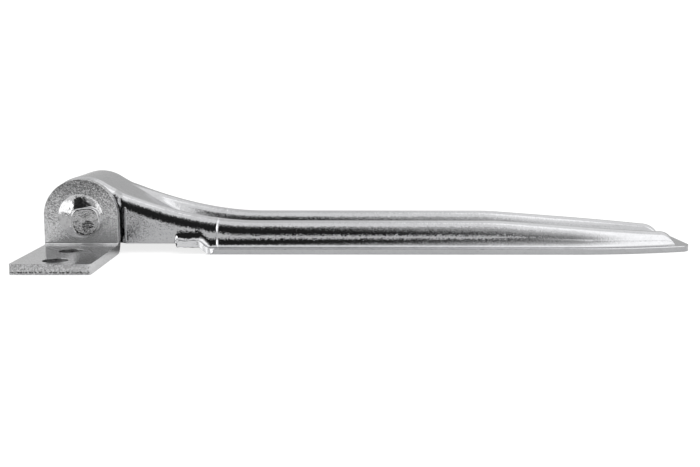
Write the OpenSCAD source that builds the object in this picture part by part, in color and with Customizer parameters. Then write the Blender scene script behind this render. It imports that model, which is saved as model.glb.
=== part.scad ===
// Strap hinge arm: a pressed double-ribbed steel strap that swings on an
// upset pin between two L-shaped screw-on brackets.
// Origin: on the mounting plane, under the pin axis, at mid width.
// +X runs to the strap's tip, +Y runs along the pin, +Z leaves the plane.

/* [Strap] */
// Distance from the pin axis to the tip, measured along X
strap_reach = 253.5; // [250:0.5:258]
// Sheet thickness of the strap
sheet_t = 2.5; // [2.3:0.1:2.5]
// Half width over the edge flanges
flange_half_w = 24; // [23.6:0.1:24.6]
// Height of the ribs above the mounting plane
rib_h = 13.1; // [13.1:0.1:13.6]
// Height of the ribs just before their rounded ends
rib_end_h = 8; // [7.5:0.1:8.6]
// Half width over the outer rib walls
rib_half_w = 20.2; // [20:0.05:20.4]
// Width of the rounded shoulders
shoulder_r = 3.5; // [3.4:0.1:3.7]
// Height over which the shoulders roll over
shoulder_drop = 6.2; // [6:0.1:6.2]
// Height over which the rolled end's shoulders roll over
knuckle_drop = 4; // [3.8:0.1:4.4]
// Height over which the rib wall runs out into the flange
fillet_rise = 4; // [3.8:0.1:4]
// Height at which the cheeks are trimmed
cheek_z = 3.9; // [3.9:0.1:4.3]
// Height of the underside of the raised flange stub
stub_z = 2.9; // [2.5:0.1:3.3]

/* [Knuckle] */
// Height of the pin axis above the mounting plane
pivot_z = 15.7; // [15.7:0.1:16.2]
// Outside radius of the strap's rolled end
knuckle_r = 15.55; // [15.4:0.05:15.6]
// Half width of the rolled end over its cheeks
knuckle_half_w = 18.4; // [18.3:0.05:18.4]

/* [Brackets] */
// Plate thickness of the brackets
plate_t = 4; // [3.8:0.1:4]
// Half width of the near bracket's ear and foot
ear_half_w = 15; // [14.6:0.1:15]
// Half width of the far bracket's ear and foot
far_ear_half_w = 13.7; // [13.2:0.1:15]
// Distance from mid width to the ear's outer face
ear_face_y = 23.3; // [23.3:0.05:23.5]
// Length of the foot, from the ear's outer face
foot_len = 44.8; // [44.4:0.2:47]
// Inside radius of the bend
bend_in_r = 1; // [0.8:0.1:1.2]
// Outside radius of the bend
bend_out_r = 4.8; // [4.5:0.1:5]
// Corner radius of the foot's free end
foot_corner_r = 1.4; // [1:0.1:2]
// Ear's outer face to the first screw hole
hole_1_from_face = 15.4; // [14.8:0.1:15.8]
// Spacing of the two screw holes in one foot
hole_pitch = 21.4; // [21:0.1:21.8]
// Radius of the screw holes
screw_hole_r = 4.7; // [4.5:0.1:4.8]

/* [Pin] */
// Radius of the pin's shank
pin_r = 6; // [5.8:0.1:6]
// Radius of the upset heads
head_r = 9; // [8.6:0.1:9.2]
// Height of the domed part of each head
head_h = 2.5; // [2.3:0.1:2.7]
// Radius of the hammered flat on each head
head_flat_r = 6.2; // [5.8:0.1:6.4]
// Height of the hammered flat above the ear
head_flat_h = 2.7; // [2.6:0.1:3]
// Outside radius of the spacer sleeve
sleeve_r = 8; // [7.8:0.1:8]
// Outside radius of the thrust washers
washer_r = 12; // [11.5:0.1:12.4]
// Thickness of the thrust washers
washer_t = 0.8; // [0.7:0.05:0.8]

/* [Hidden] */
// smoothness of round features
round_fn = 96;
// radial running clearance between strap and sleeve
run_clear = 0.05;
// radial clearance of the pin in the plates and in the sleeve
pin_clear = 0.05;
// overlap for clean cuts
cut = 1;

// where the crank leaves the rolled end, and its height and slope there
leave_x = 8.2;
leave_z = pivot_z + sqrt(knuckle_r * knuckle_r - leave_x * leave_x);
leave_slope = -leave_x / (leave_z - pivot_z);
// a point on the crank just past the ears, and the slope there
crank_x = 16.2;
crank_z = 24.6;
crank_slope = -0.386;
// where the crank has come down to the ribs
crank_end_x = 72;
// where the ribs begin to run down and where their rounded ends begin
fall_x = 172;
fall_blend = 6;
nose_x = strap_reach - 13;
nose_len = 6.9;
nose_shape = [2.4, 0.65];
// where the strap starts to narrow and how fast each line closes in
taper_x = strap_reach - 50.8;
flange_taper = 0.00333;
rib_taper = 0.0031;
tip_corner_r = 4;

// least width of flange outside the rib, and the flat left outside its fillet
rim = 1.6;
lip = 0.2;

// start and end of the widening of the shoulder beside the ears
widen_x0 = 12.6;
widen_x1 = 16.2;
// where the shoulder reaches its full roll
drop_x = 22;
// start and end of the cheek pocket beside the ears
pocket_x0 = 15.2;
pocket_x1 = 18;
ledge_drop = 0.3;
// start of the edge flange and of its step down
stub_x0 = 37.2;
stub_x1 = 39.2;
step_x0 = 47.4;
step_x1 = 52;
// start and end of the valley that becomes the groove
valley_x0 = 10;
valley_x1 = 72;

// draft of the groove walls and radius at the groove's foot
groove_draft = 15;
groove_r = 2.8;
// least half width of the groove's floor
groove_floor = 0.6;
// width of the flat crest and of the run-out onto the flange
crest_flat = 0.6;
fillet_w = 1.5;
full_depth = rib_h - sheet_t;
// how far a squashed rib leans in, and how high the cheek's foot reaches
lean_in = 0.4;
foot_top = 2.4;
foot_low = 0.6;

function smooth(t) = t <= 0 ? 0 : t >= 1 ? 1 : t * t * (3 - 2 * t);
function ramp(x, a, b) = smooth((x - a) / (b - a));
function mix(a, b, t) = a + (b - a) * t;
function hermite(x, xa, xb, za, zb, ma, mb) =
    let (h = xb - xa)
    let (t = (x - xa) / h)
    za * (2 * t * t * t - 3 * t * t + 1)
    + zb * (3 * t * t - 2 * t * t * t)
    + ma * h * (t * t * t - 2 * t * t + t)
    + mb * h * (t * t * t - t * t);

// height of the top of the strap at station x
fall_slope = (rib_h - rib_end_h) / (nose_x - fall_x);
function fall_z(x) =
    let (d = x - fall_x)
    abs(d) >= fall_blend ? rib_h - fall_slope * max(0, d)
    : rib_h - fall_slope * (d + fall_blend) * (d + fall_blend) / (4 * fall_blend);
function nose_z(x) =
    let (u = min(1, (x - nose_x) / nose_len))
    sheet_t + (fall_z(nose_x) - sheet_t) * pow(max(0, 1 - pow(u, nose_shape[0])), nose_shape[1]);
function crest_z(x) =
    x <= leave_x ? pivot_z + sqrt(knuckle_r * knuckle_r - x * x)
    : x <= crank_x ? hermite(x, leave_x, crank_x, leave_z, crank_z, leave_slope, crank_slope)
    : x <= crank_end_x ? hermite(x, crank_x, crank_end_x, crank_z, rib_h, crank_slope, 0)
    : x <= nose_x ? fall_z(x)
    : nose_z(x);

// height of the groove's floor at station x
function floor_z(x) = mix(crest_z(x), sheet_t, ramp(x, valley_x0, valley_x1));

// half widths at station x; closing is how much a line has drawn in near the tip
function closing(x, k) = k * pow(max(0, x - taper_x), 2);
function shoulder_w(x) =
    min(flange_w(x) - rim,
        mix(knuckle_half_w, rib_half_w, ramp(x, widen_x0, widen_x1)) - closing(x, rib_taper));
function wall_w(x) =
    min(flange_w(x) - rim,
        mix(knuckle_half_w, rib_half_w, ramp(x, pocket_x0, pocket_x1)) - closing(x, rib_taper));
function flange_w(x) =
    let (d = max(0, x - (strap_reach - tip_corner_r)))
    flange_half_w - closing(x, flange_taper)
    - tip_corner_r + sqrt(max(0, tip_corner_r * tip_corner_r - d * d));

// level of the flange's top face, and how far the flange is turned out
function flange_z(x) = sheet_t + stub_z * (1 - ramp(x, step_x0, step_x1));
function turned_out(x) = ramp(x, stub_x0, stub_x1);

// segments in one small arc and in one shoulder of the profile
groove_steps = 2;
shoulder_steps = 3;
// half profile of one face of the sheet, from mid width out to the edge:
// off is the distance below the top face, 0 for the top, sheet_t for the underside
function arc_list(n) = [for (i = [0 : n]) i / n];
function half_face(x, off) =
    let (h = crest_z(x) - off)
    let (f = floor_z(x) - off)
    let (b = flange_z(x) - off)
    let (rs = shoulder_r - off)
    let (rv = mix(knuckle_drop, shoulder_drop, ramp(x, leave_x, drop_x)) - off)
    let (rf = groove_r + off)
    let (fh = fillet_rise + off)
    let (y_out = shoulder_w(x) - shoulder_r)
    let (y_in = y_out - crest_flat)
    // groove side, built at full depth and scaled to the local depth
    let (k = (h - f) / full_depth)
    let (a = 90 - groove_draft)
    let (c = atan(tan(a) * rs / rv))
    let (run = (full_depth - rv * (1 - cos(c)) - rf * (1 - cos(a))) * tan(groove_draft))
    let (side = rs * sin(c) + rf * sin(a) + run)
    let (g = min(1, (y_in - groove_floor) / side))
    let (foot_y = y_in - g * side)
    // outer side, squashed where the rib runs out
    let (q = min(1, (h - b) / full_depth))
    let (lean = lean_in * (1 - q))
    let (w = wall_w(x) - off)
    let (out = turned_out(x))
    let (edge = mix(w, flange_w(x), out))
    let (low = mix(cheek_z, b, out))
    let (fw = min(fillet_w + off, max(lip, edge - w - lip)))
    concat(
        [[0, f]],
        [for (t = arc_list(groove_steps))
            [foot_y + g * rf * sin(a * t), f + k * rf * (1 - cos(a * t))]],
        [for (t = arc_list(groove_steps))
            [y_in - g * rs * sin(c * (1 - t)), h - k * rv * (1 - cos(c * (1 - t)))]],
        [for (t = arc_list(shoulder_steps))
            [y_out + (rs - lean) * sin(90 * t), h - q * rv * (1 - cos(90 * t))]],
        [[w - lean / 2, h - q * (rv + ledge_drop)]],
        [for (t = arc_list(groove_steps))
            [mix(w, w + fw * (1 - cos(90 * t)), out),
             mix(mix(low + foot_top, low + foot_low, t), b + q * fh * (1 - sin(90 * t)), out)]],
        [[edge, low]]
    );

function mirrored(p) = [for (i = [len(p) - 1 : -1 : 1]) [-p[i][0], p[i][1]]];
function full_face(x, off) =
    let (p = half_face(x, off))
    concat(mirrored(p), p);
function backwards(p) = [for (i = [len(p) - 1 : -1 : 0]) p[i]];
function ring(x) =
    [for (p = concat(full_face(x, 0), backwards(full_face(x, sheet_t)))) [x, p[0], p[1]]];

// stations of the loft: n of them from a up to, but not including, b
function between(a, b, n) = [for (i = [0 : n - 1]) a + (b - a) * i / n];
nose_steps = [0, 0.3, 0.55, 0.75, 0.9, 1];
corner_steps = [1, 0.6, 0.25, 0];
stations = concat(
    between(0, leave_x, 2),
    between(leave_x, widen_x0, 2),
    between(widen_x0, widen_x1, 2),
    [widen_x1],
    between(pocket_x1, stub_x0, 3),
    [stub_x0],
    between(stub_x1, step_x0, 2),
    between(step_x0, step_x1, 2),
    between(step_x1, crank_end_x, 3),
    [crank_end_x],
    between(fall_x - fall_blend, fall_x + fall_blend, 2),
    [fall_x + fall_blend],
    between(taper_x, nose_x, 4),
    [for (u = nose_steps) nose_x + nose_len * u],
    [for (u = corner_steps) strap_reach - tip_corner_r * u]
);

module strap_shell() {
    rings = [for (x = stations) ring(x)];
    n = len(rings[0]);
    m = len(rings);
    half = n / 2;
    points = [for (r = rings) for (p = r) p];
    sides = [for (i = [0 : m - 2]) for (j = [0 : n - 1])
        each [[i * n + j, i * n + (j + 1) % n, (i + 1) * n + j],
              [i * n + (j + 1) % n, (i + 1) * n + (j + 1) % n, (i + 1) * n + j]]];
    near_cap = [for (j = [0 : half - 2])
        each [[j, n - 1 - j, j + 1], [j + 1, n - 1 - j, n - 2 - j]]];
    base = (m - 1) * n;
    tip_cap = [for (j = [0 : half - 2])
        each [[base + j, base + j + 1, base + n - 1 - j],
              [base + j + 1, base + n - 2 - j, base + n - 1 - j]]];
    polyhedron(points = points, faces = concat(sides, near_cap, tip_cap));
}

// profile of the rolled end as [radius, y], matching the strap at x = 0
function roll_face(off) =
    [for (p = full_face(0, off)) if (p[1] > pivot_z + sleeve_r + cut) [p[1] - pivot_z, p[0]]];
module roll_profile() {
    polygon(concat(
        [[0, -knuckle_half_w]],
        roll_face(0),
        [[0, knuckle_half_w], [0, knuckle_half_w - sheet_t]],
        backwards(roll_face(sheet_t)),
        [[0, sheet_t - knuckle_half_w]]
    ));
}
module rolled_end() {
    difference() {
        translate([0, 0, pivot_z])
            rotate([90, -90, 0])
                rotate_extrude(angle = 180, $fn = round_fn)
                    roll_profile();
        translate([-knuckle_r - cut, -knuckle_half_w - cut, -cut])
            cube([2 * (knuckle_r + cut), 2 * (knuckle_half_w + cut), cheek_z + cut]);
    }
}

module along_pin(r, y0, y1) {
    translate([0, y0, pivot_z])
        rotate([-90, 0, 0])
            cylinder(r = r, h = y1 - y0, $fn = round_fn);
}

// cylinder along X, as long as a bracket is wide
module along_bend(r, half_w, y, z) {
    translate([-half_w - 2 * cut, y, z])
        rotate([0, 90, 0])
            cylinder(r = r, h = 2 * (half_w + 2 * cut), $fn = round_fn);
}

// Pressed strap with two hollow ribs, a cranked neck and a rolled end.
module strap() {
    color([0.72, 0.73, 0.75])
        difference() {
            union() {
                strap_shell();
                rolled_end();
            }
            along_pin(sleeve_r + run_clear, -knuckle_half_w - cut, knuckle_half_w + cut);
        }
}

ear_inner_y = ear_face_y - plate_t;
module ear(half_w) {
    along_pin(half_w, ear_inner_y, ear_face_y);
    translate([-half_w, ear_inner_y, 0])
        cube([2 * half_w, plate_t, pivot_z]);
}
module foot(half_w) {
    translate([-half_w, ear_face_y - cut, 0])
        cube([2 * half_w, foot_len - foot_corner_r + cut, plate_t]);
    translate([foot_corner_r - half_w, ear_face_y, 0])
        cube([2 * (half_w - foot_corner_r), foot_len, plate_t]);
    for (side = [-1, 1])
        translate([side * (half_w - foot_corner_r), ear_face_y + foot_len - foot_corner_r, 0])
            cylinder(r = foot_corner_r, h = plate_t, $fn = round_fn);
}
module inside_bend(half_w) {
    difference() {
        translate([-half_w, ear_face_y, plate_t])
            cube([2 * half_w, bend_in_r, bend_in_r]);
        along_bend(bend_in_r, half_w, ear_face_y + bend_in_r, plate_t + bend_in_r);
    }
}
module outside_bend_cut(half_w) {
    difference() {
        translate([-half_w - cut, ear_inner_y - cut, -cut])
            cube([2 * (half_w + cut), bend_out_r + cut, bend_out_r + cut]);
        along_bend(bend_out_r, half_w, ear_inner_y + bend_out_r, bend_out_r);
    }
}
module bracket(half_w) {
    difference() {
        union() {
            ear(half_w);
            foot(half_w);
            inside_bend(half_w);
        }
        outside_bend_cut(half_w);
        // anything of the ear's round top that reaches below the foot
        translate([-half_w - cut, ear_inner_y - cut, -half_w])
            cube([2 * (half_w + cut), plate_t + 2 * cut, half_w]);
        along_pin(pin_r + pin_clear, ear_inner_y - cut, ear_face_y + cut);
        for (d = [hole_1_from_face, hole_1_from_face + hole_pitch])
            translate([0, ear_face_y + d, -cut])
                cylinder(r = screw_hole_r, h = plate_t + 2 * cut, $fn = round_fn);
    }
}

// Angle bracket on the near side, foot pointing away from the strap.
module near_bracket() {
    color([0.66, 0.67, 0.69])
        mirror([0, 1, 0])
            bracket(ear_half_w);
}

// Angle bracket on the far side: the same bend, from slightly narrower bar.
module far_bracket() {
    color([0.66, 0.67, 0.69])
        bracket(far_ear_half_w);
}

// radius of the head's sphere, and how far off centre the hammered flat sits
dome_r = (head_r * head_r + head_h * head_h) / (2 * head_h);
flat_off_x = 2.6;
flat_off_z = -2.2;
// Headed pin: plain shank with a dome at each end, hammered flat off its centre.
module upset_head() {
    translate([0, ear_face_y, pivot_z])
        rotate([-90, 0, 0])
            intersection() {
                translate([0, 0, head_h - dome_r])
                    sphere(r = dome_r, $fn = round_fn);
                cylinder(r = head_r, h = head_h, $fn = round_fn);
            }
    translate([flat_off_x, ear_face_y, pivot_z + flat_off_z])
        rotate([-90, 0, 0])
            cylinder(r = head_flat_r, h = head_flat_h, $fn = round_fn);
}
module hinge_pin() {
    color([0.6, 0.6, 0.62])
        union() {
            along_pin(pin_r, -ear_face_y - head_h / 2, ear_face_y + head_h / 2);
            upset_head();
            mirror([0, 1, 0])
                upset_head();
        }
}

// Tube between the ears: it keeps them apart while the strap turns on it.
module spacer_sleeve() {
    color([0.55, 0.56, 0.58])
        difference() {
            along_pin(sleeve_r, -ear_inner_y, ear_inner_y);
            along_pin(pin_r + pin_clear, -ear_inner_y - cut, ear_inner_y + cut);
        }
}

// Thin ring that fills the gap between ear and cheek.
washer_y = ear_inner_y - run_clear;
module thrust_washer() {
    difference() {
        along_pin(washer_r, washer_y - washer_t, washer_y);
        along_pin(sleeve_r + run_clear, washer_y - washer_t - cut, washer_y + cut);
    }
}
module near_washer() {
    color([0.62, 0.63, 0.66])
        mirror([0, 1, 0])
            thrust_washer();
}
module far_washer() {
    color([0.62, 0.63, 0.66])
        thrust_washer();
}

strap();
near_bracket();
far_bracket();
hinge_pin();
spacer_sleeve();
near_washer();
far_washer();
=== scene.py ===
import math

import bmesh
import bpy
from mathutils import Matrix, Vector, noise


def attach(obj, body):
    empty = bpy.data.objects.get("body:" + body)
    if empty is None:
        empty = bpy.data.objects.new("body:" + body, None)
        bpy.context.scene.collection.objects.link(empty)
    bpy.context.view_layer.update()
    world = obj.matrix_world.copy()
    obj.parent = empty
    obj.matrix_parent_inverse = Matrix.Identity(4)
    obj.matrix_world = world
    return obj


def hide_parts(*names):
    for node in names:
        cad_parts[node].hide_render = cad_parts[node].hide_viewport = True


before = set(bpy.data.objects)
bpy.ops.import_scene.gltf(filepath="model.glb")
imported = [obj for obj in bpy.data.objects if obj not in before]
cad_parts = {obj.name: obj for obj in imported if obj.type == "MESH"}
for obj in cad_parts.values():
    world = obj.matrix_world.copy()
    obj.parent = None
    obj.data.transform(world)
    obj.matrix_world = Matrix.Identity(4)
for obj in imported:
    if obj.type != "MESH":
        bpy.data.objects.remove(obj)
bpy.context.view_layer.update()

MM = 0.001

# ---------------------------------------------------------------- sizes, mm
# All sizes below are in millimetres, in the CAD frame. Stations are X values.

# strap
REACH = 253.5             # pin axis to tip
SHEET = 2.5               # sheet thickness
RIB_H = 13.1
RIB_END_H = 8.0           # rib height just before the rounded ends
RIB_HALF_W = 20.2
FLANGE_HALF_W = 24.0
RIM = 1.6                 # least width of flange outside the rib
LIP = 0.2                 # least flat left outside the rib's fillet
SHOULDER_R = 3.5          # width of the rounded shoulders
SHOULDER_DROP = 6.2       # height over which they roll over
DROP_X = 22.0             # where they reach that height
CREST_FLAT = 0.6
GROOVE_R = 2.8
GROOVE_DRAFT = math.radians(15)
GROOVE_FLOOR = 0.6        # least half width of the groove's floor
FILLET_W = 1.5
FILLET_RISE = 4.0
LEDGE_DROP = 0.3
LEAN_IN = 0.4             # how far a squashed rib leans in
FOOT_TOP = 2.4            # the cheek's foot, above its lower edge
FOOT_LOW = 0.6
CHEEK_Z = 3.9             # height at which the cheeks are trimmed
STUB_Z = 2.9              # height of the raised stub's underside
EDGE_R = 0.3              # rounding of the sheet's upper edge
UNDER_EDGE_R = 0.18       # and of its lower edge
EDGE_HOLD = 0.1           # flat kept next to each rounding

# stations where the strap's section changes
WIDEN = (12.6, 16.2)      # shoulder widens beside the ears
POCKET = (15.2, 18.0)     # cheek pocket beside the ears
STUB = (37.2, 39.2)       # flange turns out
STEP = (47.4, 52.0)       # flange steps down to the mounting plane
VALLEY = (10.0, 72.0)     # groove deepens
FALL_X = 172.0            # ribs begin to run down
FALL_BLEND = 6.0
NOSE_X = REACH - 13.0     # rounded ends of the ribs
NOSE_LEN = 6.9
NOSE_BACK = 2.4
NOSE_FRONT = 0.65
TAPER_X = REACH - 50.8    # strap narrows towards the tip
FLANGE_TAPER = 0.00333
RIB_TAPER = 0.0031
TIP_CORNER_R = 4.0

# rolled end and pin
PIVOT_Z = 15.7
KNUCKLE_R = 15.55
KNUCKLE_DROP = 4.0
KNUCKLE_HALF_W = 18.4
PIN_R = 6.0
SLEEVE_R = 8.0
BORE_R = SLEEVE_R + 0.1   # drawn a little wide of the sleeve
WASHER_R = 12.0
WASHER_T = 0.8
RUN_CLEAR = 0.05          # between parts that turn or slide on each other

# pin heads: a dome with a hammered flat off its centre
HEAD_R = 9.0
HEAD_H = 2.5
HEAD_SKIRT = 0.1          # how far the head's rim is carried on
HEAD_SUNK = 0.4           # how far its base lies inside the ear
FLAT_H = 2.7
FLAT_R = 6.2
FLAT_X = 2.6
FLAT_Z = -2.2
FLAT_LIP = 0.8
SHANK_OUT = 0.3           # how far the shank runs into each head

# brackets
PLATE = 4.0
EAR_R = 15.0
FAR_EAR_R = 13.7
EAR_FACE_Y = 23.3
EAR_INNER_Y = EAR_FACE_Y - PLATE
FOOT_LEN = 44.8
FOOT_END_Y = EAR_FACE_Y + FOOT_LEN
BEND_IN_R = 1.0
BEND_OUT_R = 4.8
FOOT_CORNER_R = 1.4
HOLE_1 = 15.4             # ear's outer face to the first screw hole
HOLE_PITCH = 21.4
HOLES = (HOLE_1, HOLE_1 + HOLE_PITCH)
HOLE_R = 4.7
BRACKET_ROUND = 0.2       # rounding of the plate's edges
RING_ROUND = 0.12         # rounding of the sleeve's and washers' edges

# mesh making
PAST = 1.0                # how far a cutting shape runs past the part
WELD_AT = 0.003           # points closer than this are joined
SNAP = 9                  # decimals of a metre kept in lofted skins
LEVEL = 1e-9              # depth below which a section counts as flat
ARC = 6                   # faces round a small arc of the strap's section
WALL_STEPS = 4            # faces up each straight stretch of it
CORNER_STEPS = 4          # faces round the sheet's edges
SHOULDER_ARC = 9          # faces round its shoulder
ROLL_STEPS = 60           # faces round the half drum
ROUND = 96                # faces round a full circle


# ---------------------------------------------------------------- formulas
def smooth(t):
    t = min(1.0, max(0.0, t))
    return t * t * (3 - 2 * t)


def ramp(x, a, b):
    return smooth((x - a) / (b - a))


def mix(a, b, t):
    return a + (b - a) * t


def hermite(x, xa, xb, za, zb, ma, mb):
    h = xb - xa
    t = (x - xa) / h
    return (za * (2 * t**3 - 3 * t**2 + 1) + zb * (3 * t**2 - 2 * t**3)
            + ma * h * (t**3 - 2 * t**2 + t) + mb * h * (t**3 - t**2))


# the crank, from the rolled end down to the ribs
LEAVE_X = 8.2
LEAVE_Z = PIVOT_Z + math.sqrt(KNUCKLE_R**2 - LEAVE_X**2)
LEAVE_SLOPE = -LEAVE_X / (LEAVE_Z - PIVOT_Z)
CRANK_X = 16.2
CRANK_Z = 24.6
CRANK_SLOPE = -0.386
CRANK_END_X = 72.0
FULL_DEPTH = RIB_H - SHEET
FALL_SLOPE = (RIB_H - RIB_END_H) / (NOSE_X - FALL_X)


def crest_z(x):
    """Height of the ribs' crest at station x."""
    if x <= LEAVE_X:
        return PIVOT_Z + math.sqrt(KNUCKLE_R**2 - x * x)
    if x <= CRANK_X:
        return hermite(x, LEAVE_X, CRANK_X, LEAVE_Z, CRANK_Z, LEAVE_SLOPE, CRANK_SLOPE)
    if x <= CRANK_END_X:
        return hermite(x, CRANK_X, CRANK_END_X, CRANK_Z, RIB_H, CRANK_SLOPE, 0)
    if x <= NOSE_X:
        d = x - FALL_X
        if abs(d) >= FALL_BLEND:
            return RIB_H - FALL_SLOPE * max(0, d)
        return RIB_H - FALL_SLOPE * (d + FALL_BLEND)**2 / (4 * FALL_BLEND)
    u = min(1, (x - NOSE_X) / NOSE_LEN)
    return SHEET + (RIB_END_H - SHEET) * max(0, 1 - u**NOSE_BACK)**NOSE_FRONT


def floor_z(x):
    """Height of the groove's floor at station x."""
    return mix(crest_z(x), SHEET, ramp(x, *VALLEY))


def closing(x, k):
    """How far a line has drawn in near the tip."""
    return k * max(0, x - TAPER_X)**2


def flange_w(x):
    d = max(0, x - (REACH - TIP_CORNER_R))
    return (FLANGE_HALF_W - closing(x, FLANGE_TAPER) - TIP_CORNER_R
            + math.sqrt(max(0, TIP_CORNER_R**2 - d * d)))


def shoulder_w(x):
    w = mix(KNUCKLE_HALF_W, RIB_HALF_W, ramp(x, *WIDEN)) - closing(x, RIB_TAPER)
    return min(flange_w(x) - RIM, w)


def wall_w(x):
    w = mix(KNUCKLE_HALF_W, RIB_HALF_W, ramp(x, *POCKET)) - closing(x, RIB_TAPER)
    return min(flange_w(x) - RIM, w)


def flange_z(x):
    return SHEET + STUB_Z * (1 - ramp(x, *STEP))


def steps(n):
    return [i / n for i in range(n + 1)]


# the faint line left across the ribs: its station, length, height and sideways bulge
WITNESS_X = 55.1
WITNESS_LEN = 0.27
WITNESS_UP = 0.10
WITNESS_OUT = 0.24


def witness(x):
    """A faint raised line across the ribs where the stub ends."""
    return math.exp(-((x - WITNESS_X) / WITNESS_LEN) ** 2)


def groove_side(y_in, h, f, rs, rv, rf):
    """Groove wall from floor to crest, drawn at full depth and scaled to the local one."""
    k = (h - f) / FULL_DEPTH
    a = math.pi / 2 - GROOVE_DRAFT
    c = math.atan(math.tan(a) * rs / rv)
    straight = FULL_DEPTH - rv * (1 - math.cos(c)) - rf * (1 - math.cos(a))
    side = rs * math.sin(c) + rf * math.sin(a) + straight * math.tan(GROOVE_DRAFT)
    g = min(1, (y_in - GROOVE_FLOOR) / side)
    foot_y = y_in - g * side
    pts = [(foot_y * t, f) for t in steps(WALL_STEPS)[:-1]]
    pts += [(foot_y + g * rf * math.sin(a * t), f + k * rf * (1 - math.cos(a * t)))
            for t in steps(ARC)]
    pts += [(y_in - g * rs * math.sin(c * (1 - t)), h - k * rv * (1 - math.cos(c * (1 - t))))
            for t in steps(ARC)]
    return pts


def half_face(x, off):
    """Points (y, z) of one face of the sheet, from mid width out to its edge."""
    seam = witness(x)
    h = crest_z(x) - off + WITNESS_UP * seam
    f, b = floor_z(x) - off, flange_z(x) - off
    rs = SHOULDER_R - off
    rv = mix(KNUCKLE_DROP, SHOULDER_DROP, ramp(x, LEAVE_X, DROP_X)) - off
    y_out = shoulder_w(x) - SHOULDER_R
    pts = groove_side(y_out - CREST_FLAT, h, f, rs, rv, GROOVE_R + off)
    # shoulder, squashed where the rib runs out
    q = min(1, (h - b) / FULL_DEPTH)
    lean = LEAN_IN * (1 - q)
    bulge = WITNESS_OUT * seam
    pts += [(y_out + (rs - lean + bulge) * math.sin(math.pi / 2 * t),
             h - q * rv * (1 - math.cos(math.pi / 2 * t))) for t in steps(SHOULDER_ARC)]
    # wall, from the shoulder down to where the flange or the cheek's foot begins
    w = wall_w(x) - off + bulge
    out = ramp(x, *STUB)
    edge = mix(w, flange_w(x), out)
    low = mix(CHEEK_Z, b, out)
    top, ledge = h - q * rv, h - q * (rv + LEDGE_DROP)
    sw = shoulder_w(x) - off - lean + bulge
    pts += [(mix(sw, w - lean / 2, smooth(t)), mix(top, ledge, t))
            for t in steps(WALL_STEPS)[1:]]
    rise = q * (FILLET_RISE + off)
    pts += [(mix(w - lean / 2, w, t), mix(ledge, mix(low + FOOT_TOP, b + rise, out), t))
            for t in steps(WALL_STEPS)[1:-1]]
    # fillet onto the flange, or the straight foot of the cheek
    fw = min(FILLET_W + off, max(LIP, edge - w - LIP))
    for t in steps(ARC):
        c, s = math.cos(math.pi / 2 * t), math.sin(math.pi / 2 * t)
        foot = mix(low + FOOT_TOP, low + FOOT_LOW, t)
        pts.append((mix(w, w + fw * (1 - c), out), mix(foot, b + rise * (1 - s), out)))
    pts.append((edge, low))
    if q < LEVEL:
        pts = outward(pts)
    return pts


def outward(pts):
    """The same flat profile with no point stepping back towards mid width."""
    far = 0
    out = []
    for y, z in pts:
        far = max(far, y)
        out.append((far, z))
    return out


def rounded(prev, corner, nxt, r):
    """Points of a small arc that rounds off a corner."""
    c = Vector(corner)
    u = (Vector(prev) - c).normalized()
    v = (Vector(nxt) - c).normalized()
    a, b = c + u * r, c + v * r
    out = []
    for t in steps(CORNER_STEPS):
        p = a * (1 - t)**2 + c * (2 * t * (1 - t)) + b * t**2
        out.append((p.x, p.y))
    return out


def toward(p, q, d):
    """The point d away from p on the line to q."""
    t = d / math.dist(p, q)
    return (mix(p[0], q[0], t), mix(p[1], q[1], t))


def ring(x):
    """The sheet's closed section at station x: points (y, z), top face first."""
    top, under = half_face(x, 0), half_face(x, SHEET)
    a, b = top[-1], under[-1]
    right = (top[:-1] + rounded(top[-2], a, b, EDGE_R)
             + [toward(a, b, EDGE_R + EDGE_HOLD), toward(b, a, UNDER_EDGE_R + EDGE_HOLD)]
             + rounded(a, b, under[-2], UNDER_EDGE_R) + under[:-1][::-1])
    left = [(-y, z) for y, z in right[::-1]]
    return right + left[1:-1]


# ---------------------------------------------------------------- mesh tools
SHARP_STRAP = 32          # edges steeper than this stay crisp, degrees
SHARP_PLATE = 40
SHARP_HEAD = 60
BEVEL_FROM = 28           # edges steeper than this are rounded, degrees
BEVEL_FACES = 3
BY_AREA = 90              # how strongly large faces pull the shading; 50 is neutral


def from_bmesh(name, bm):
    me = bpy.data.meshes.new(name)
    bm.to_mesh(me)
    bm.free()
    ob = bpy.data.objects.new(name, me)
    bpy.context.scene.collection.objects.link(ob)
    return ob


def shade(ob, sharp):
    ob.data.shade_smooth()
    ob.data.set_sharp_from_angle(angle=math.radians(sharp))


def mesh_object(name, verts, faces, sharp):
    me = bpy.data.meshes.new(name)
    me.from_pydata(verts, [], faces)
    bm = bmesh.new()
    bm.from_mesh(me)
    bpy.data.meshes.remove(me)
    bmesh.ops.recalc_face_normals(bm, faces=bm.faces)
    ob = from_bmesh(name, bm)
    shade(ob, sharp)
    return ob


def spans(parts):
    """Stations for a list of stretches (from, to, step)."""
    out = []
    for a, b, step in parts:
        n = max(1, round((b - a) / step))
        out += [a + (b - a) * i / n for i in range(n)]
    return out + [parts[-1][1]]


def loft(rings):
    """Vertices and faces of a closed skin over equally long rings.

    The points are snapped so that two skins which meet share the very same ones.
    """
    n = len(rings[0])
    verts = [tuple(round(c, SNAP) for c in p) for r in rings for p in r]
    faces = []
    for i in range(len(rings) - 1):
        for j in range(n):
            k = (j + 1) % n
            faces.append((i * n + j, i * n + k, (i + 1) * n + k, (i + 1) * n + j))
    faces.append(tuple(range(n)))
    faces.append(tuple(range(len(verts) - n, len(verts))))
    return verts, faces


def block(name, lo, hi):
    """A closed box between two corners, in mm."""
    bm = bmesh.new()
    bmesh.ops.create_cube(bm, size=1)
    for v in bm.verts:
        v.co = Vector([mix(lo[i], hi[i], v.co[i] + 0.5) * MM for i in range(3)])
    return from_bmesh(name, bm)


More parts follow.
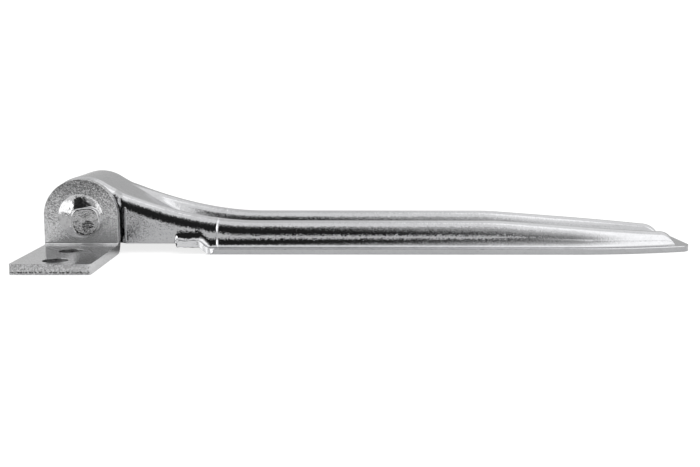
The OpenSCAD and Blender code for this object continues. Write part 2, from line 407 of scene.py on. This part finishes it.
def rod(name, axis, centre, r, a, b, segments=ROUND):
    """A closed cylinder along axis 1 (Y) or 2 (Z), from a to b, in mm."""
    bm = bmesh.new()
    bmesh.ops.create_cone(bm, segments=segments, radius1=r * MM, radius2=r * MM,
                          depth=(b - a) * MM, cap_ends=True)
    turn = Matrix.Rotation(math.pi / 2, 4, "X") if axis == 1 else Matrix.Identity(4)
    bm.transform(turn)
    mid = [c * MM for c in centre]
    mid[axis] = (a + b) / 2 * MM
    bm.transform(Matrix.Translation(mid))
    return from_bmesh(name, bm)


def prism(name, outline, lo, hi, place):
    """A closed solid between two copies of an outline; place gives the point for (a, b, end)."""
    bm = bmesh.new()
    n = len(outline)
    v = [bm.verts.new([c * MM for c in place(a, b, end)]) for end in (lo, hi) for a, b in outline]
    bm.faces.new(v[:n])
    bm.faces.new(v[n:])
    for i in range(n):
        k = (i + 1) % n
        bm.faces.new((v[i], v[k], v[n + k], v[n + i]))
    bmesh.ops.recalc_face_normals(bm, faces=bm.faces)
    return from_bmesh(name, bm)


def apply_modifiers(ob):
    dg = bpy.context.evaluated_depsgraph_get()
    me = bpy.data.meshes.new_from_object(ob.evaluated_get(dg))
    ob.modifiers.clear()
    old = ob.data
    ob.data = me
    bpy.data.meshes.remove(old)


def carve(ob, tool, operation="DIFFERENCE"):
    """Applies one boolean and removes the tool."""
    mod = ob.modifiers.new("carve", "BOOLEAN")
    mod.operation = operation
    mod.solver = "EXACT"
    mod.object = tool
    apply_modifiers(ob)
    bpy.data.objects.remove(tool)
    return ob


def soften(ob, width):
    """Rounds every crisp edge and keeps the flat faces flat in shading."""
    mod = ob.modifiers.new("round", "BEVEL")
    mod.width = width * MM
    mod.segments = BEVEL_FACES
    mod.limit_method = "ANGLE"
    mod.angle_limit = math.radians(BEVEL_FROM)
    mod.harden_normals = False
    apply_modifiers(ob)
    shade(ob, SHARP_PLATE)
    mod = ob.modifiers.new("flat_faces", "WEIGHTED_NORMAL")
    mod.keep_sharp = True
    mod.weight = BY_AREA
    apply_modifiers(ob)
    return ob


def weld(ob):
    """Joins points that fall together and drops the faces that vanish with them."""
    bm = bmesh.new()
    bm.from_mesh(ob.data)
    bmesh.ops.remove_doubles(bm, verts=bm.verts, dist=WELD_AT * MM)
    bmesh.ops.dissolve_degenerate(bm, edges=bm.edges, dist=WELD_AT * MM)
    bm.to_mesh(ob.data)
    bm.free()


# ---------------------------------------------------------------- strap
# how finely the strap is cut along X: from, to, step
STRETCHES = (
    (0, 30, 0.5),
    (30, 56, 0.3),
    (56, 76, 1.0),
    (76, 164, 4.0),
    (164, 180, 1.0),
    (180, NOSE_X, 1.5),
    (NOSE_X, REACH, 0.2),
)
# hammer marks on the raised stub: where they come in, where they end, and how far out
DENT_FROM = (36.0, 38.0)
DENT_TO = (51.6, 54.6)
DENT_SIDE = (20.6, 21.6)
DENT_DEPTH = 0.55
DENT_PER_MM = 0.42
DENT_SHARE = Vector((1.0, 0.5, 0.7))
# the stub's outer edge is beaten to a slant
SLANT = 1.8
SLANT_SIDE = (21.5, 23.5)


def battered(x, y, z):
    """Hammer marks on the raised stub; everything else stays as pressed. Gives metres."""
    mark = ramp(x, *DENT_FROM) * (1 - ramp(x, *DENT_TO)) * ramp(abs(y), *DENT_SIDE)
    push = noise.noise_vector(Vector((x, y, z)) * DENT_PER_MM) * (DENT_DEPTH * mark)
    push *= DENT_SHARE
    rise = min(1, max(0, (z - flange_z(x) + SHEET) / SHEET))
    y -= math.copysign(SLANT * mark * rise * ramp(abs(y), *SLANT_SIDE), y)
    return (x + push.x) * MM, (y + push.y) * MM, max(0, z + push.z) * MM


def strap_body():
    rings = [[battered(x, y, z) for y, z in ring(x)] for x in spans(STRETCHES)]
    return mesh_object("strap_skin", *loft(rings), SHARP_STRAP)


def rolled_end():
    """The half drum behind the pin: the first section swung about the pin axis."""
    keep = PIVOT_Z + SLEEVE_R + PAST
    inner = SLEEVE_R / 2
    outer = [(y, z - PIVOT_Z) for y, z in half_face(0, 0) if z > keep]
    under = [(y, z - PIVOT_Z) for y, z in half_face(0, SHEET) if z > keep]
    outer.append((KNUCKLE_HALF_W, inner))
    under.append((KNUCKLE_HALF_W - SHEET, inner))
    right = outer + under[::-1]
    section = right + [(-y, r) for y, r in right[::-1]][1:-1]
    rings = []
    for t in steps(ROLL_STEPS):
        a = math.pi / 2 + math.pi * t
        rings.append([(r * math.cos(a) * MM, y * MM, (PIVOT_Z + r * math.sin(a)) * MM)
                      for y, r in section])
    drum = mesh_object("drum", *loft(rings), SHARP_STRAP)
    reach = 2 * KNUCKLE_R
    return carve(drum, block("trim", (-reach, -reach, -PAST), (reach, reach, CHEEK_Z)))


def strap_piece():
    ob = strap_body()
    weld(ob)
    carve(ob, rolled_end(), "UNION")
    reach = KNUCKLE_HALF_W + PAST
    carve(ob, rod("bore", 1, (0, 0, PIVOT_Z), BORE_R, -reach, reach))
    weld(ob)
    shade(ob, SHARP_STRAP)
    return ob


# ---------------------------------------------------------------- brackets
HOLE_FACES = 64
CORNER_FACES = 48
BEND_STEPS = 16


def plate_section():
    """Section (y, z) of the bent plate, with the ear left tall enough to be trimmed round."""
    top = PIVOT_Z + EAR_R + PAST
    arc = [math.pi / 2 * t for t in steps(BEND_STEPS)]
    outside = [(EAR_INNER_Y + BEND_OUT_R * (1 - math.sin(a)), BEND_OUT_R * (1 - math.cos(a)))
               for a in arc]
    inside = [(EAR_FACE_Y + BEND_IN_R * (1 - math.cos(a)),
               PLATE + BEND_IN_R * (1 - math.sin(a))) for a in arc]
    ear = [(EAR_INNER_Y, top), (EAR_FACE_Y, top)]
    return [(FOOT_END_Y, 0)] + outside + ear + inside + [(FOOT_END_Y, PLATE)]


def ear_outline(half_w):
    """Outline (x, z) that rounds the ear's top and leaves the rest alone."""
    wide = half_w + PAST
    arc = [(half_w * math.cos(math.pi * t), PIVOT_Z + half_w * math.sin(math.pi * t))
           for t in steps(ROUND)]
    start = [(-wide, -PAST), (wide, -PAST), (wide, PIVOT_Z), (half_w, PIVOT_Z)]
    return start + arc + [(-wide, PIVOT_Z)]


def corner_nib(half_w, side, end):
    """What is cut away to round one corner of the foot's free end."""
    cx, cy = end * (half_w - FOOT_CORNER_R), side * (FOOT_END_Y - FOOT_CORNER_R)
    far_x, far_y = end * (half_w + PAST), side * (FOOT_END_Y + PAST)
    lo = (min(cx, far_x), min(cy, far_y), -PAST)
    hi = (max(cx, far_x), max(cy, far_y), PLATE + PAST)
    post = rod("post", 2, (cx, cy, 0), FOOT_CORNER_R, -2 * PAST, PLATE + 2 * PAST, CORNER_FACES)
    return carve(block("nib", lo, hi), post)


def bracket_piece(name, side, half_w):
    """One bent plate; side is -1 for the near bracket and 1 for the far one."""
    ob = prism(name, plate_section(), -half_w, half_w, lambda y, z, end: (end, side * y, z))
    wide = FOOT_END_Y + PAST
    mask = prism("outline", ear_outline(half_w), -wide, wide, lambda x, z, end: (x, end, z))
    carve(ob, mask, "INTERSECT")
    for end in (-1, 1):
        carve(ob, corner_nib(half_w, side, end))
    for d in HOLES:
        at = (0, side * (EAR_FACE_Y + d), 0)
        carve(ob, rod("hole", 2, at, HOLE_R, -PAST, PLATE + PAST, HOLE_FACES))
    ear = sorted((side * (EAR_INNER_Y - PAST), side * (EAR_FACE_Y + PAST)))
    carve(ob, rod("hole", 1, (0, 0, PIVOT_Z), PIN_R + RUN_CLEAR, *ear, HOLE_FACES))
    return soften(ob, BRACKET_ROUND)


# ---------------------------------------------------------------- pin and rings
HEAD_RINGS = 72
HEAD_SPOKES = 144
# how uneven the hammered head is: height and repeats per mm
DOME_WAVE = 0.06
DOME_PER_MM = 0.7
DOME_FADE = 2.0           # width over which it dies out at the rim
FLAT_WAVE = 0.03
FLAT_PER_MM = 0.35
SQUARED = 0.30            # the flat is a little squared off, turned by this angle
SQUARE_TURN = 2.6
WANDER = 0.3              # and its edge wanders, as often as this per mm
WANDER_PER_MM = 0.3
WANDER_FROM = Vector((7, 3, 1))
RECESS = 0.07             # the flat is lowest inside this radius
RECESS_R = 4.6
# the deepest hammer mark: depth, place, size, soft edge and how much wider than tall
DENT = 0.11
DENT_X = 3.4
DENT_Z = -3.4
DENT_R = 1.6
DENT_EDGE = 1.4
DENT_WIDE = 1.4
# its rough floor: repeats per mm along X and Z, a slice of the noise, and contrast
DENT_ROUGH = (0.6, 1.2)
DENT_SLICE = 3.0
DENT_CONTRAST = 2.2


def head_height(x, z):
    """Height of the hammered head above the ear at (x, z) from the pin axis, mm."""
    r = math.hypot(x, z)
    p = Vector((x, z, 0))
    dome_r = (HEAD_R**2 + HEAD_H**2) / (2 * HEAD_H)
    dome = math.sqrt(max(0, dome_r**2 - r * r)) - dome_r + HEAD_H
    dome += DOME_WAVE * noise.noise(p * DOME_PER_MM) * smooth((HEAD_R - r) / DOME_FADE)
    d = math.hypot(x - FLAT_X, z - FLAT_Z)
    turn = math.atan2(z - FLAT_Z, x - FLAT_X)
    edge = FLAT_R + SQUARED * math.cos(4 * turn + SQUARE_TURN)
    edge += WANDER * noise.noise(p * WANDER_PER_MM + WANDER_FROM)
    t = (edge - d) / FLAT_LIP
    if t <= 0:
        return dome
    flat = FLAT_H - RECESS * (1 - smooth(d - RECESS_R))
    flat += FLAT_WAVE * noise.noise(p * FLAT_PER_MM)
    away = math.hypot(x - DENT_X, (z - DENT_Z) * DENT_WIDE) - DENT_R
    rough = noise.noise(Vector((x * DENT_ROUGH[0], z * DENT_ROUGH[1], DENT_SLICE)))
    flat -= DENT * (1 - smooth(away / DENT_EDGE)) * smooth(0.5 + DENT_CONTRAST * rough)
    rise = math.sqrt(max(0, 1 - (1 - min(1, t))**2))
    return mix(min(dome, flat), flat, rise)


def head_mesh(side):
    """One closed head; side is -1 for the near one and 1 for the far one."""
    verts = [(0, side * (EAR_FACE_Y + head_height(0, 0)) * MM, PIVOT_Z * MM)]
    for i in range(1, HEAD_RINGS + 1):
        r = (HEAD_R + HEAD_SKIRT) * min(1, i / (HEAD_RINGS - 1))
        for j in range(HEAD_SPOKES):
            a = 2 * math.pi * j / HEAD_SPOKES
            x, z = r * math.cos(a), r * math.sin(a)
            h = head_height(x, z) if i < HEAD_RINGS else -HEAD_SUNK
            verts.append((x * MM, side * (EAR_FACE_Y + h) * MM, (PIVOT_Z + z) * MM))
    faces = [(0, 1 + j, 1 + (j + 1) % HEAD_SPOKES) for j in range(HEAD_SPOKES)]
    for i in range(HEAD_RINGS - 1):
        for j in range(HEAD_SPOKES):
            k = (j + 1) % HEAD_SPOKES
            a, b = 1 + i * HEAD_SPOKES, 1 + (i + 1) * HEAD_SPOKES
            faces.append((a + j, b + j, b + k, a + k))
    faces.append(tuple(1 + (HEAD_RINGS - 1) * HEAD_SPOKES + j for j in range(HEAD_SPOKES)))
    return mesh_object("head", verts, faces, SHARP_HEAD)


def pin_piece():
    end = EAR_FACE_Y + SHANK_OUT
    ob = rod("hinge_pin_skin", 1, (0, 0, PIVOT_Z), PIN_R, -end, end)
    for side in (-1, 1):
        carve(ob, head_mesh(side), "UNION")
    shade(ob, SHARP_HEAD)
    return ob


def ring_piece(name, r_out, r_in, a, b):
    """A tube or washer on the pin axis, from a to b along Y."""
    ob = rod(name, 1, (0, 0, PIVOT_Z), r_out, a, b)
    carve(ob, rod("hole", 1, (0, 0, PIVOT_Z), r_in, a - PAST, b + PAST))
    return soften(ob, RING_ROUND)


def sleeve_piece():
    return ring_piece("spacer_sleeve_skin", SLEEVE_R, PIN_R + RUN_CLEAR, -EAR_INNER_Y, EAR_INNER_Y)


def washer_piece(name, side):
    ends = sorted((side * (EAR_INNER_Y - RUN_CLEAR), side * (EAR_INNER_Y - RUN_CLEAR - WASHER_T)))
    return ring_piece(name, WASHER_R, SLEEVE_R + RUN_CLEAR, *ends)


# ---------------------------------------------------------------- materials
class Graph:
    """Small helper that writes a shader node tree."""

    def __init__(self, tree):
        self.tree = tree
        tree.nodes.clear()

    def node(self, kind, **inputs):
        """Adds a node: p_name sets a property, iN an input by number, other names an input."""
        n = self.tree.nodes.new(kind)
        for key, value in inputs.items():
            if key.startswith("p_"):
                setattr(n, key[2:], value)
            else:
                self.plug(value, self.socket(n, key))
        return n

    def socket(self, n, key):
        if key.startswith("i") and key[1:].isdigit():
            return n.inputs[int(key[1:])]
        return n.inputs[key.replace("_", " ")]

    def plug(self, value, socket):
        if isinstance(value, bpy.types.NodeSocket):
            self.tree.links.new(value, socket)
        else:
            socket.default_value = value

    def math(self, op, a, b=0.0, clamp=False):
        n = self.node("ShaderNodeMath", p_operation=op, p_use_clamp=clamp, i0=a, i1=b)
        return n.outputs[0]

    def times(self, *factors):
        product = factors[0]
        for f in factors[1:]:
            product = self.math("MULTIPLY", product, f)
        return product

    def plus(self, a, b):
        return self.math("ADD", a, b)

    def vector(self, op, a, b=(0.0, 0.0, 0.0), scale=1.0):
        n = self.node("ShaderNodeVectorMath", p_operation=op, i0=a, i1=b, i3=scale)
        return n.outputs[0]

    def smoothstep(self, v, lo, hi):
        n = self.node("ShaderNodeMapRange", p_interpolation_type="SMOOTHSTEP", Value=v,
                      From_Min=lo, From_Max=hi, To_Min=0.0, To_Max=1.0)
        return n.outputs[0]

    def between(self, v, zero, lims):
        """Smooth step between two places given in mm from a zero also in mm."""
        return self.smoothstep(v, (zero + lims[0]) * MM, (zero + lims[1]) * MM)

    def mixed(self, a, b, t):
        n = self.node("ShaderNodeMix", p_data_type="FLOAT", i0=t, i2=a, i3=b)
        return n.outputs[0]

    def noise(self, vector, scale, detail=2.0, rough=0.5):
        n = self.node("ShaderNodeTexNoise", Vector=vector, Scale=scale, Detail=detail,
                      Roughness=rough)
        return n.outputs[0]

    def place(self, output="Object"):
        return self.node("ShaderNodeTexCoord").outputs[output]

    def split(self, vector):
        return self.node("ShaderNodeSeparateXYZ", Vector=vector).outputs

    def grey(self, value):
        return self.node("ShaderNodeCombineColor", i0=value, i1=value, i2=value).outputs[0]


def new_material(name):
    mat = bpy.data.materials.new(name)
    mat.use_nodes = True
    return mat, Graph(mat.node_tree)


# sizes of the plating's pattern, in repeats per metre
STREAKS = (14.0, 700.0, 700.0)
CLOUDS = 70.0
BLOTCHES = 620.0
SPECKS = 2300.0
PEEL_FINE = 1900.0
PEEL_BROAD = 420.0
PITS = 900.0
TORN = 1100.0
GRIT = 1700.0
PEEL_SHARE = 0.9          # height of the broad peel against the fine one
PATCHY = 0.8              # how far the roughness follows the blotches
# the strap's plating turns smoother between these distances from the pin, in metres
CALM_X = (0.17, 0.215)
CALM_SHARE = 0.25         # how much of a grain's lean is left there
TOP_LEAN = 0.35           # and on the bracket's faces that look up
TOP_ROUGH = 0.5
LOOKS_UP = (0.7, 0.95)    # from which Z of the normal on a face looks up
# noise values between which a pattern comes in
DOTS_IN = (0.56, 0.70)
DIRT_IN = (0.50, 0.72)
PITS_IN = (0.38, 0.62)
TORN_IN = (0.44, 0.56)
GRIT_IN = (0.40, 0.60)
# how much the patterns darken or lighten
CLOUD_TONE = (0.93, 1.05)
STREAK_TONE = (0.90, 1.10)
GRIT_TONE = (0.08, 0.42)
# painted shade inside the screw holes: how much it darkens, left and right
HOLE_SHADE_TONE = (0.75, 0.1)   # left and right of the screw hole
PITS_TONE = 0.45
TORN_TONE = 0.7
# where the bracket's own marks and the painted shade in its screw holes lie, in mm
CROWN_Z = (20.0, 29.0)    # round top of the ear
HOLE_SHADE_EDGE = (0.12, 0.02)  # outside a screw hole's radius
HOLE_SHADE_X = (-1.5, 2.5)
CUT_Y = (0.5, 0.2)        # short of the foot's end
ROW_TOP = (1.25, 1.05)    # row of torn dots, heights on the cut end
ROW_LOW = (0.55, 0.75)


def crown_dirt(g, at, z):
    """Dark pits in the round top of the ear."""
    pits = g.smoothstep(g.noise(at, PITS, detail=3.0, rough=0.7), *PITS_IN)
    return g.times(g.between(z, 0, CROWN_Z), pits, PITS_TONE)


def hole_painted_shade(g, x, y, d):
    """Painted shade inside the screw hole at distance d from the ear, darker to the left."""
    past = g.math("SUBTRACT", g.math("ABSOLUTE", y), (EAR_FACE_Y + d) * MM)
    reach = g.math("SQRT", g.plus(g.times(x, x), g.times(past, past)))
    return g.times(g.between(reach, HOLE_R, HOLE_SHADE_EDGE),
                   g.mixed(*HOLE_SHADE_TONE, g.between(x, 0, HOLE_SHADE_X)))


def sheared_end(g, at, y, z):
    """The foot's cut end: a grainy face with a row of torn dots low down."""
    end = g.between(g.math("ABSOLUTE", y), FOOT_END_Y, [-short for short in CUT_Y])
    row = g.times(end, g.between(z, 0, ROW_TOP), g.between(z, 0, ROW_LOW))
    torn = g.times(row, g.smoothstep(g.noise(at, TORN, detail=0.0), *TORN_IN), TORN_TONE)
    grainy = g.smoothstep(g.noise(at, GRIT, detail=1.0, rough=0.6), *GRIT_IN)
    return torn, g.times(end, g.mixed(*GRIT_TONE, grainy))


def zinc(name, tone, rough, peel, grain, lean, speck, grime, metal=1.0, bracket=False):
    """Bright zinc plate: orange-peel gloss, fine specks and soft cloudy patches.

    peel is the depth of the orange peel and grain the width of one grain, both in mm;
    lean is how far a grain's normal leans; speck and grime darken dots and blotches.
    """
    mat, g = new_material(name)
    at = g.place()
    x, y, z = g.split(at)
    drawn = g.node("ShaderNodeMapping", Vector=at, Scale=STREAKS).outputs[0]
    streak = g.noise(drawn, 1.0, detail=3.0, rough=0.6)
    cloud = g.noise(at, CLOUDS, detail=3.0, rough=0.6)
    blotch = g.noise(at, BLOTCHES, detail=4.0, rough=0.65)
    dots = g.times(g.smoothstep(g.noise(at, SPECKS, rough=0.65), *DOTS_IN), speck)
    dirt_and_hole_shade = g.times(g.smoothstep(blotch, *DIRT_IN), grime)
    roughness = g.plus(rough, g.times(g.math("SUBTRACT", blotch, 0.5), rough * PATCHY))
    amount = g.mixed(lean, lean * CALM_SHARE, g.smoothstep(x, *CALM_X))
    face = g.node("ShaderNodeNewGeometry").outputs["Normal"]
    if bracket:
        torn, grit = sheared_end(g, at, y, z)
        dots = g.plus(dots, torn)
        dirt_and_hole_shade = g.plus(g.plus(dirt_and_hole_shade, grit), crown_dirt(g, at, z))
        # painted shade inside the screw holes, darker to the left; the rest is dirt, grit and pits
        for d in HOLES:
            dirt_and_hole_shade = g.plus(dirt_and_hole_shade, hole_painted_shade(g, x, y, d))
        # the rolled faces that look up are smoother
        level_top = g.smoothstep(g.split(face)[2], *LOOKS_UP)
        roughness = g.times(roughness, g.mixed(1.0, TOP_ROUGH, level_top))
        amount = g.mixed(amount, lean * TOP_LEAN, level_top)
    level = g.math("SUBTRACT", 1.0, g.plus(dots, dirt_and_hole_shade), clamp=True)
    level = g.times(level, g.mixed(*CLOUD_TONE, cloud), g.mixed(*STREAK_TONE, streak))
    col = g.node("ShaderNodeCombineColor")
    for i, part in enumerate(tone):
        g.plug(g.times(level, part), col.inputs[i])
    # every grain of the plating leans its own way
    cells = g.node("ShaderNodeTexVoronoi", Vector=at, Scale=1.0 / (grain * MM)).outputs["Color"]
    tilt = g.vector("SCALE", g.vector("SUBTRACT", cells, (0.5, 0.5, 0.5)), scale=amount)
    normal = g.vector("NORMALIZE", g.vector("ADD", face, tilt))
    broad = g.times(g.noise(at, PEEL_BROAD), PEEL_SHARE)
    height = g.plus(g.noise(at, PEEL_FINE, rough=0.6), broad)
    bump = g.node("ShaderNodeBump", Strength=1.0, Distance=peel * MM, Height=height, Normal=normal)
    bsdf = g.node("ShaderNodeBsdfPrincipled", Base_Color=col.outputs[0], Metallic=metal,
                  Roughness=roughness, Normal=bump.outputs[0])
    g.node("ShaderNodeOutputMaterial", Surface=bsdf.outputs[0])
    return mat


def dress(ob, mat):
    ob.data.materials.clear()
    ob.data.materials.append(mat)


# ---------------------------------------------------------------- studio
SKY_BACK = 0.56           # brightness of the sky low down behind the part
SKY_TOP = (0.96, 1.28)    # and overhead, left and right of the pin
SKY_FRONT = 1.15          # least brightness in front
SKY_RIGHT = 1.9           # bright corner in front to the right
SOFT_BOX = 2.2            # lamp box in front to the left
BACKDROP = 1.05           # what the camera itself sees
# where the sky changes, as parts of the direction looked at
AHEAD = (0.05, 0.2)       # towards the camera's side
OVERHEAD = (0.2, 0.7)
OVER_RIGHT = (0.0, 0.16)
CORNER = (0.40, 0.75)     # sideways over forwards
BOX_SIDE = (-0.75, -0.95)
BOX_TOP = (0.50, 0.38)


def studio():
    """White backdrop and sky, brighter to the left and to the right of the camera."""
    world = bpy.data.worlds.new("studio")
    bpy.context.scene.world = world
    world.use_nodes = True
    g = Graph(world.node_tree)
    x, y, z = g.split(g.place("Generated"))
    front = g.times(y, -1.0)
    ahead = g.smoothstep(front, *AHEAD)
    side = g.math("DIVIDE", x, g.math("MAXIMUM", front, AHEAD[0]))
    top = g.mixed(*SKY_TOP, g.smoothstep(x, *OVER_RIGHT))
    sky = g.mixed(SKY_BACK, top, g.smoothstep(z, *OVERHEAD))
    sky = g.mixed(sky, g.math("MAXIMUM", sky, SKY_FRONT), ahead)
    sky = g.mixed(sky, SKY_RIGHT, g.times(ahead, g.smoothstep(side, *CORNER)))
    box = g.times(ahead, g.smoothstep(side, *BOX_SIDE), g.smoothstep(z, *BOX_TOP))
    value = g.mixed(sky, SOFT_BOX, box)
    value = g.mixed(value, BACKDROP, g.node("ShaderNodeLightPath").outputs["Is Camera Ray"])
    back = g.node("ShaderNodeBackground", Color=(1, 1, 1, 1), Strength=value)
    g.node("ShaderNodeOutputWorld", Surface=back.outputs[0])


def sheet_of(name, half, move):
    """A flat square of the given half size, moved into place."""
    bm = bmesh.new()
    bmesh.ops.create_grid(bm, x_segments=1, y_segments=1, size=half)
    bm.transform(move)
    return from_bmesh(name, bm)


# the dark board, in metres; each range is where something comes in or dies out
CARD_Y = -0.55
CARD_Z = 0.3
CARD_HALF = 0.8
CARD_TONE = (0.02, 0.60)  # its brightness at the pin's end and at the tip's end
CARD_FADE = (0.20, 0.44)
CARD_FADE_LEAN = 0.6
CARD_LEFT = (-0.44, -0.30)
CARD_RIGHT = (0.54, 0.38)
CARD_RIGHT_LEAN = 0.4
CARD_TOP = (0.54, 0.46)
CARD_RISE = -0.14         # its top edge is this much higher on the left
CARD_RISE_X = (0.03, -0.06)


def dark_card():
    """A dark board in front of the part that only its reflections see."""
    upright = Matrix.Rotation(math.pi / 2, 4, "X")
    ob = sheet_of("dark_card", CARD_HALF, Matrix.Translation((0, CARD_Y, CARD_Z)) @ upright)
    mat, g = new_material("dark_card")
    x, _, z = g.split(g.place())
    fade = g.smoothstep(g.plus(x, g.times(z, CARD_FADE_LEAN)), *CARD_FADE)
    black = g.mixed(*CARD_TONE, fade)
    left = g.smoothstep(x, *CARD_LEFT)
    right = g.smoothstep(g.plus(x, g.times(z, CARD_RIGHT_LEAN)), *CARD_RIGHT)
    rise = g.times(g.smoothstep(x, *CARD_RISE_X), CARD_RISE)
    top = g.smoothstep(g.plus(z, rise), *CARD_TOP)
    board = g.node("ShaderNodeEmission", Color=(1, 1, 1, 1), Strength=black).outputs[0]
    clear = g.node("ShaderNodeBsdfTransparent").outputs[0]
    both = g.node("ShaderNodeMixShader", i0=g.times(left, right, top), i1=clear, i2=board)
    g.node("ShaderNodeOutputMaterial", Surface=both.outputs[0])
    dress(ob, mat)
    ob.visible_camera = False
    ob.visible_diffuse = False
    ob.visible_shadow = False


FLOOR_HALF = 6.0
FLOOR_PATCH = 8.0         # repeats per metre
FLOOR_TONE = (0.93, 0.97)
PAPER_END = (-0.21, -0.15)    # where the floor turns dark in reflections
PAPER_TONE = (0.05, 0.74)
FLOOR_GLOW = 1.12
GLOW_SHARE = 0.72


def floor_piece():
    """Pale floor; reflections see a sheet of paper that ends in front of the part."""
    ob = sheet_of("floor", FLOOR_HALF, Matrix.Identity(4))
    mat, g = new_material("pale_floor")
    at = g.place()
    tone = g.mixed(*FLOOR_TONE, g.noise(at, FLOOR_PATCH, detail=4.0, rough=0.6))
    paint = g.node("ShaderNodeBsdfDiffuse", Color=g.grey(tone)).outputs[0]
    paper_tone = g.mixed(*PAPER_TONE, g.smoothstep(g.split(at)[1], *PAPER_END))
    paper = g.node("ShaderNodeBsdfDiffuse", Color=g.grey(paper_tone)).outputs[0]
    path = g.node("ShaderNodeLightPath").outputs
    glow = g.node("ShaderNodeEmission", Color=(1, 1, 1, 1), Strength=FLOOR_GLOW).outputs[0]
    lifted = g.node("ShaderNodeMixShader", i0=GLOW_SHARE, i1=paint, i2=glow).outputs[0]
    seen = g.node("ShaderNodeMixShader", i0=path["Is Camera Ray"], i1=paint, i2=lifted).outputs[0]
    both = g.node("ShaderNodeMixShader", i0=path["Is Glossy Ray"], i1=seen, i2=paper)
    g.node("ShaderNodeOutputMaterial", Surface=both.outputs[0])
    dress(ob, mat)


KEY_AT = Vector((-0.62, -0.62, 0.30))
KEY_AIM = Vector((0.08, 0, 0))
KEY_WATTS = 0.35
KEY_SIZE = 0.22


def key_light():
    data = bpy.data.lights.new("key", "AREA")
    data.energy = KEY_WATTS
    data.size = KEY_SIZE
    ob = bpy.data.objects.new("key", data)
    ob.location = KEY_AT
    ob.rotation_euler = (KEY_AIM - KEY_AT).to_track_quat("-Z", "Y").to_euler()
    bpy.context.scene.collection.objects.link(ob)


CAM_AT = Vector((0.1061, -0.4142, 0.0679))
CAM_YAW = 0.0098          # radians
CAM_PITCH = 0.1504
CAM_ROLL = 0.0025
SENSOR = 36.0             # mm
LENS = 49.5823            # mm


def camera():
    """A low view along +Y, slightly from above."""
    level = math.cos(CAM_PITCH)
    ahead = Vector((math.sin(CAM_YAW) * level, math.cos(CAM_YAW) * level, -math.sin(CAM_PITCH)))
    right = Vector((math.cos(CAM_YAW), -math.sin(CAM_YAW), 0))
    up = right.cross(ahead)
    side = math.cos(CAM_ROLL) * right + math.sin(CAM_ROLL) * up
    head = math.cos(CAM_ROLL) * up - math.sin(CAM_ROLL) * right
    m = Matrix((side, head, -ahead)).transposed().to_4x4()
    m.translation = CAM_AT
    data = bpy.data.cameras.new("camera")
    data.sensor_width = SENSOR
    data.lens = LENS
    data.clip_start = 0.01
    cam = bpy.data.objects.new("camera", data)
    cam.matrix_world = m
    bpy.context.scene.collection.objects.link(cam)
    bpy.context.scene.camera = cam


# ---------------------------------------------------------------- the object
# material slot: its look
LOOKS = {
    "strap_zinc": zinc("strap_zinc", tone=(0.50, 0.502, 0.512), rough=0.07, peel=0.030,
                       grain=0.38, lean=0.085, speck=0.12, grime=0.08),
    "bracket_zinc": zinc("bracket_zinc", tone=(0.62, 0.622, 0.628), rough=0.19, peel=0.035,
                         grain=0.42, lean=0.11, speck=0.42, grime=0.18, metal=0.78,
                         bracket=True),
    "pin_zinc": zinc("pin_zinc", tone=(0.50, 0.50, 0.505), rough=0.12, peel=0.022,
                     grain=0.4, lean=0.07, speck=0.35, grime=0.30),
    "washer_zinc": zinc("washer_zinc", tone=(0.48, 0.48, 0.49), rough=0.20, peel=0.030,
                        grain=0.45, lean=0.1, speck=0.2, grime=0.2),
}

# piece, the CAD node it stands for, its body, its material slot
PIECES = (
    (strap_piece(), "strap", "arm", "strap_zinc"),
    (bracket_piece("near_bracket_skin", -1, EAR_R), "near_bracket", "knuckle", "bracket_zinc"),
    (bracket_piece("far_bracket_skin", 1, FAR_EAR_R), "far_bracket", "knuckle", "bracket_zinc"),
    (pin_piece(), "hinge_pin", "knuckle", "pin_zinc"),
    (sleeve_piece(), "spacer_sleeve", "knuckle", "pin_zinc"),
    (washer_piece("near_washer_skin", -1), "near_washer", "knuckle", "washer_zinc"),
    (washer_piece("far_washer_skin", 1), "far_washer", "knuckle", "washer_zinc"),
)
for piece, node, body, slot in PIECES:
    dress(piece, LOOKS[slot])
    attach(piece, body)
    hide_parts(node)

studio()
dark_card()
floor_piece()
key_light()
camera()
bpy.context.scene.view_settings.view_transform = "Standard"
